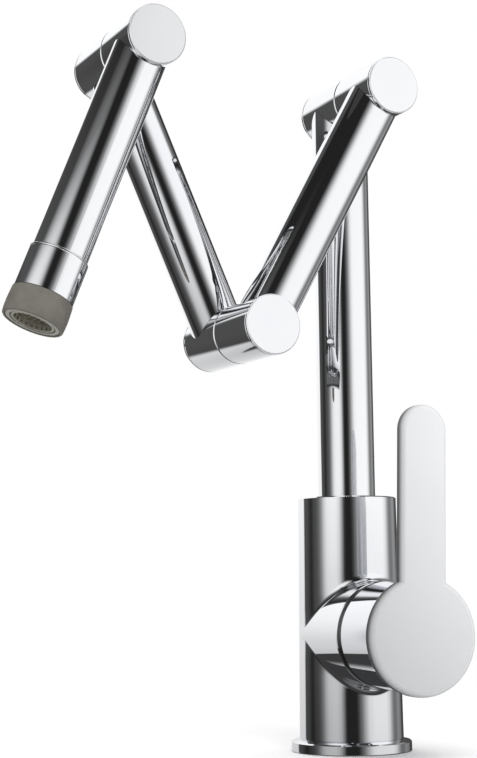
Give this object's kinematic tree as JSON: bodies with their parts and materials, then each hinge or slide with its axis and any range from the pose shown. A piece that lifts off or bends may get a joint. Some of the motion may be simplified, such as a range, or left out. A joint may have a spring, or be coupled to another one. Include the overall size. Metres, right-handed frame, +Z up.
{
  "type": "folding kitchen faucet",
  "caption": "Deck-mounted single-lever kitchen mixer with a swivelling riser and two folding arms that carry a jointed spout with a grey-ringed aerator.",
  "frame": {"origin": "centre of the base's underside, on the worktop", "axes": "+Z up along the riser, +X toward the lever, -Y toward the user and the spout side"},
  "size_m": [0.094, 0.1934, 0.3027],
  "materials": {
    "polished_chrome": "mirror-polished chrome plate",
    "cap_chrome": "chrome plate, finely turned flat face",
    "brass": "turned, unplated",
    "stainless_steel": "brushed stainless steel",
    "black_rubber": "moulded, matte",
    "white_plastic": "low-friction moulding, matte",
    "ceramic": "lapped white ceramic",
    "grey_plastic": "soft matte grey moulding",
    "pale_plastic": "satin pale grey moulding",
    "aerator_screen": "dark olive moulded screen"
  },
  "bodies": {
    "base": {"base_flange": "polished_chrome", "base_gasket": "black_rubber", "body_casting": "polished_chrome", "inlet_block": "brass", "inlet_block_seal": "black_rubber", "swivel_guide_bush": "white_plastic", "swivel_retaining_screw": "stainless_steel", "cartridge_housing": "white_plastic", "cartridge_port_seals": "black_rubber", "fixed_ceramic_disc": "ceramic", "cartridge_ring_nut": "brass", "dome_cover": "polished_chrome"},
    "riser": {"riser_tube": "polished_chrome", "riser_spigot": "brass", "riser_seals": "black_rubber", "shoulder_rear_barrel": "polished_chrome", "shoulder_rear_cap": "cap_chrome", "shoulder_spindle": "brass", "shoulder_seals": "black_rubber", "shoulder_slip_washer": "white_plastic", "shoulder_spring_washer": "stainless_steel", "shoulder_nut": "brass"},
    "lower_arm": {"shoulder_front_barrel": "polished_chrome", "shoulder_front_cap": "cap_chrome", "lower_arm_tube": "polished_chrome", "elbow_front_barrel": "polished_chrome", "elbow_front_cap": "cap_chrome"},
    "middle_arm": {"elbow_rear_barrel": "polished_chrome", "elbow_rear_cap": "cap_chrome", "elbow_spindle": "brass", "elbow_seals": "black_rubber", "elbow_slip_washer": "white_plastic", "elbow_spring_washer": "stainless_steel", "elbow_nut": "brass", "middle_arm_tube": "polished_chrome", "wrist_rear_barrel": "polished_chrome", "wrist_rear_cap": "cap_chrome", "wrist_spindle": "brass", "wrist_seals": "black_rubber", "wrist_slip_washer": "white_plastic", "wrist_spring_washer": "stainless_steel", "wrist_nut": "brass"},
    "spout": {"wrist_front_barrel": "polished_chrome", "wrist_front_cap": "cap_chrome", "spout_tube": "polished_chrome", "spout_collar": "polished_chrome", "aerator_gasket": "black_rubber", "aerator_housing": "pale_plastic", "aerator_insert": "pale_plastic", "aerator_mesh": "aerator_screen", "nozzle_ring": "grey_plastic"},
    "mixer_turret": {"cartridge_turret": "white_plastic", "lever_pivot_pin": "stainless_steel"},
    "disc_slider": {"moving_ceramic_disc": "ceramic", "disc_carrier": "white_plastic"},
    "lever": {"lever_stem": "stainless_steel", "lever_handle": "polished_chrome", "lever_grub_screw": "stainless_steel"}
  },
  "joints": [
    {"name": "riser_swivel", "type": "hinge", "parent": "base", "child": "riser", "pos_m": [0, 0, 0.083], "axis": [0, 0, 1], "range_deg": [-180, 180]},
    {"name": "shoulder_fold", "type": "hinge", "parent": "riser", "child": "lower_arm", "pos_m": [0.01616, 0.0017, 0.285], "axis": [-0.9945, -0.1045, 0], "range_deg": [-16.9, 150.6]},
    {"name": "elbow_fold", "type": "hinge", "parent": "lower_arm", "child": "middle_arm", "pos_m": [0.02258, -0.05933, 0.1761], "axis": [0.9945, 0.1045, 0], "range_deg": [-41, 115]},
    {"name": "wrist_fold", "type": "hinge", "parent": "middle_arm", "child": "spout", "pos_m": [0.02791, -0.11009, 0.2902], "axis": [-0.9945, -0.1045, 0], "range_deg": [-33, 133.9]},
    {"name": "lever_mix", "type": "hinge", "parent": "base", "child": "mixer_turret", "pos_m": [0.019, 0, 0.05], "axis": [1, 0, 0], "range_deg": [-48, 52]},
    {"name": "lever_flow", "type": "hinge", "parent": "mixer_turret", "child": "lever", "pos_m": [0.019, 0, 0.05], "axis": [0, 0.9995, -0.0314], "range_deg": [0, 15]},
    {"name": "disc_slide", "type": "slide", "parent": "mixer_turret", "child": "disc_slider", "axis": [0, 0.0314, 0.9995], "range_m": [0, 0.00175]}
  ],
  "couplings": [
    {"joint": "disc_slide", "follows": "lever_flow", "m_per_rad": 0.00635}
  ]
}
